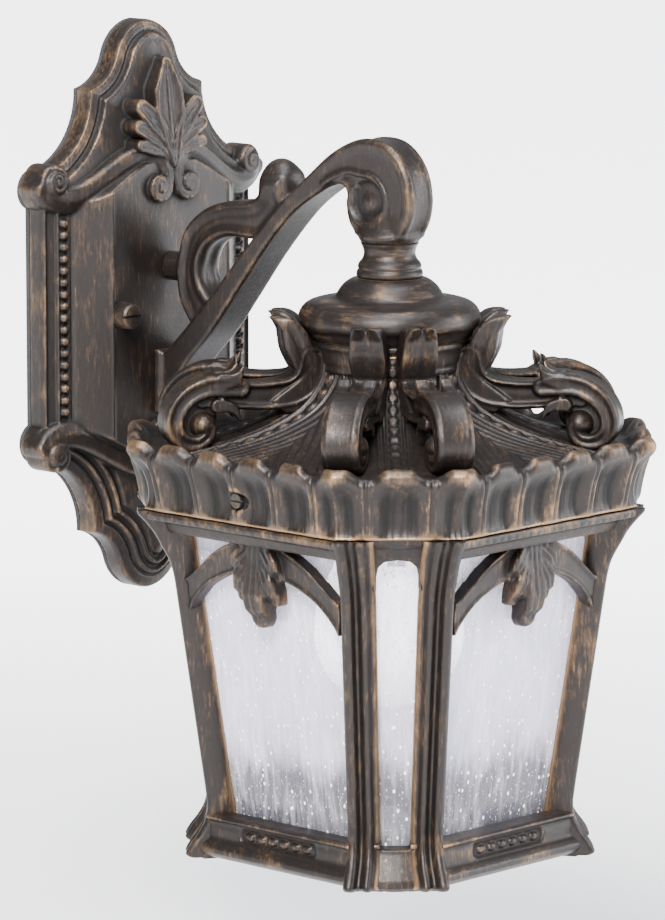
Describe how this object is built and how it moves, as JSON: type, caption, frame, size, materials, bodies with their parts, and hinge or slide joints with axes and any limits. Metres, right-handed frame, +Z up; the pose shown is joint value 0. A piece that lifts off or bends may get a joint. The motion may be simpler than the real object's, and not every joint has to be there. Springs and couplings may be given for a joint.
{
  "type": "outdoor wall lantern",
  "caption": "Wall-mounted outdoor lantern: shaped cast plate, scrolled arm and eight-sided seeded-glass lantern with pagoda roof, hip scrolls and an open-bottomed cage.",
  "frame": {"origin": "centre of the wall plate on the wall plane, the middle of the mounting strap's two wall box slots", "axes": "+Z up, +X along the wall, the lantern stands out from the wall towards -Y"},
  "size_m": [0.182, 0.2375, 0.3258],
  "materials": {
    "bronze_plate": "matte",
    "bronze_arm": "satin",
    "bronze_roof": "satin",
    "bronze_cage": "satin",
    "dark_hardware": "satin",
    "plated_steel": "satin",
    "ground_green": "satin",
    "seeded_glass": "gloss",
    "bulb_frost": "satin",
    "bulb_wire": "satin",
    "brass_parts": "satin",
    "porcelain": "gloss",
    "gasket_foam": "matte"
  },
  "bodies": {
    "fixture": {"arm": "bronze_arm", "arm_screws": "plated_steel", "backplate": "bronze_plate", "cage_nuts": "plated_steel", "cap_washers": "dark_hardware", "centre_contact": "brass_parts", "dome_cap": "bronze_arm", "ground_screw": "ground_green", "hanging_nipple": "plated_steel", "lampholder": "porcelain", "mounting_strap": "plated_steel", "mounting_studs": "plated_steel", "neck_ring": "bronze_arm", "nipple_lock_washer": "plated_steel", "nipple_nut": "plated_steel", "roof": "bronze_roof", "screw_shell": "brass_parts", "scroll_back_left_back_side": "bronze_roof", "scroll_back_left_left_side": "bronze_roof", "scroll_back_right_back_side": "bronze_roof", "scroll_back_right_right_side": "bronze_roof", "scroll_front_left_front_side": "bronze_roof", "scroll_front_left_left_side": "bronze_roof", "scroll_front_right_front_side": "bronze_roof", "scroll_front_right_right_side": "bronze_roof", "scroll_screws": "plated_steel", "socket_bracket": "plated_steel", "socket_screws": "plated_steel", "stud_nuts": "plated_steel", "wall_gasket": "gasket_foam"},
    "cage": {"cage_frame": "bronze_cage", "glass_clips": "plated_steel", "clip_screws": "plated_steel", "pane_back": "seeded_glass", "pane_back_left": "seeded_glass", "pane_back_right": "seeded_glass", "pane_front": "seeded_glass", "pane_front_left": "seeded_glass", "pane_front_right": "seeded_glass", "pane_left": "seeded_glass", "pane_right": "seeded_glass"},
    "bulb": {"bulb_cap": "brass_parts", "bulb_glass": "bulb_frost", "bulb_stem": "bulb_wire"},
    "plate_nut_left": {"cap_nut_left": "dark_hardware"},
    "plate_nut_right": {"cap_nut_right": "dark_hardware"},
    "clamp_screw_left": {"cage_screw_left": "dark_hardware"},
    "clamp_screw_right": {"cage_screw_right": "dark_hardware"}
  },
  "joints": [
    {"name": "cage_drop", "type": "slide", "parent": "fixture", "child": "cage", "axis": [0, 0, -1], "range_m": [0, 0.1]},
    {"name": "bulb_turn", "type": "hinge", "parent": "fixture", "child": "bulb", "pos_m": [0, -0.1465, -0.065], "axis": [0, 0, 1], "continuous": true},
    {"name": "plate_nut_left_turn", "type": "hinge", "parent": "fixture", "child": "plate_nut_left", "pos_m": [-0.0286, -0.028, 0], "axis": [0, -1, 0], "continuous": true},
    {"name": "plate_nut_right_turn", "type": "hinge", "parent": "fixture", "child": "plate_nut_right", "pos_m": [0.0286, -0.028, 0], "axis": [0, -1, 0], "continuous": true},
    {"name": "clamp_screw_left_turn", "type": "hinge", "parent": "fixture", "child": "clamp_screw_left", "pos_m": [-0.085, -0.1465, -0.0554], "axis": [-1, 0, 0], "continuous": true},
    {"name": "clamp_screw_right_turn", "type": "hinge", "parent": "fixture", "child": "clamp_screw_right", "pos_m": [0.085, -0.1465, -0.0554], "axis": [1, 0, 0], "continuous": true}
  ]
}
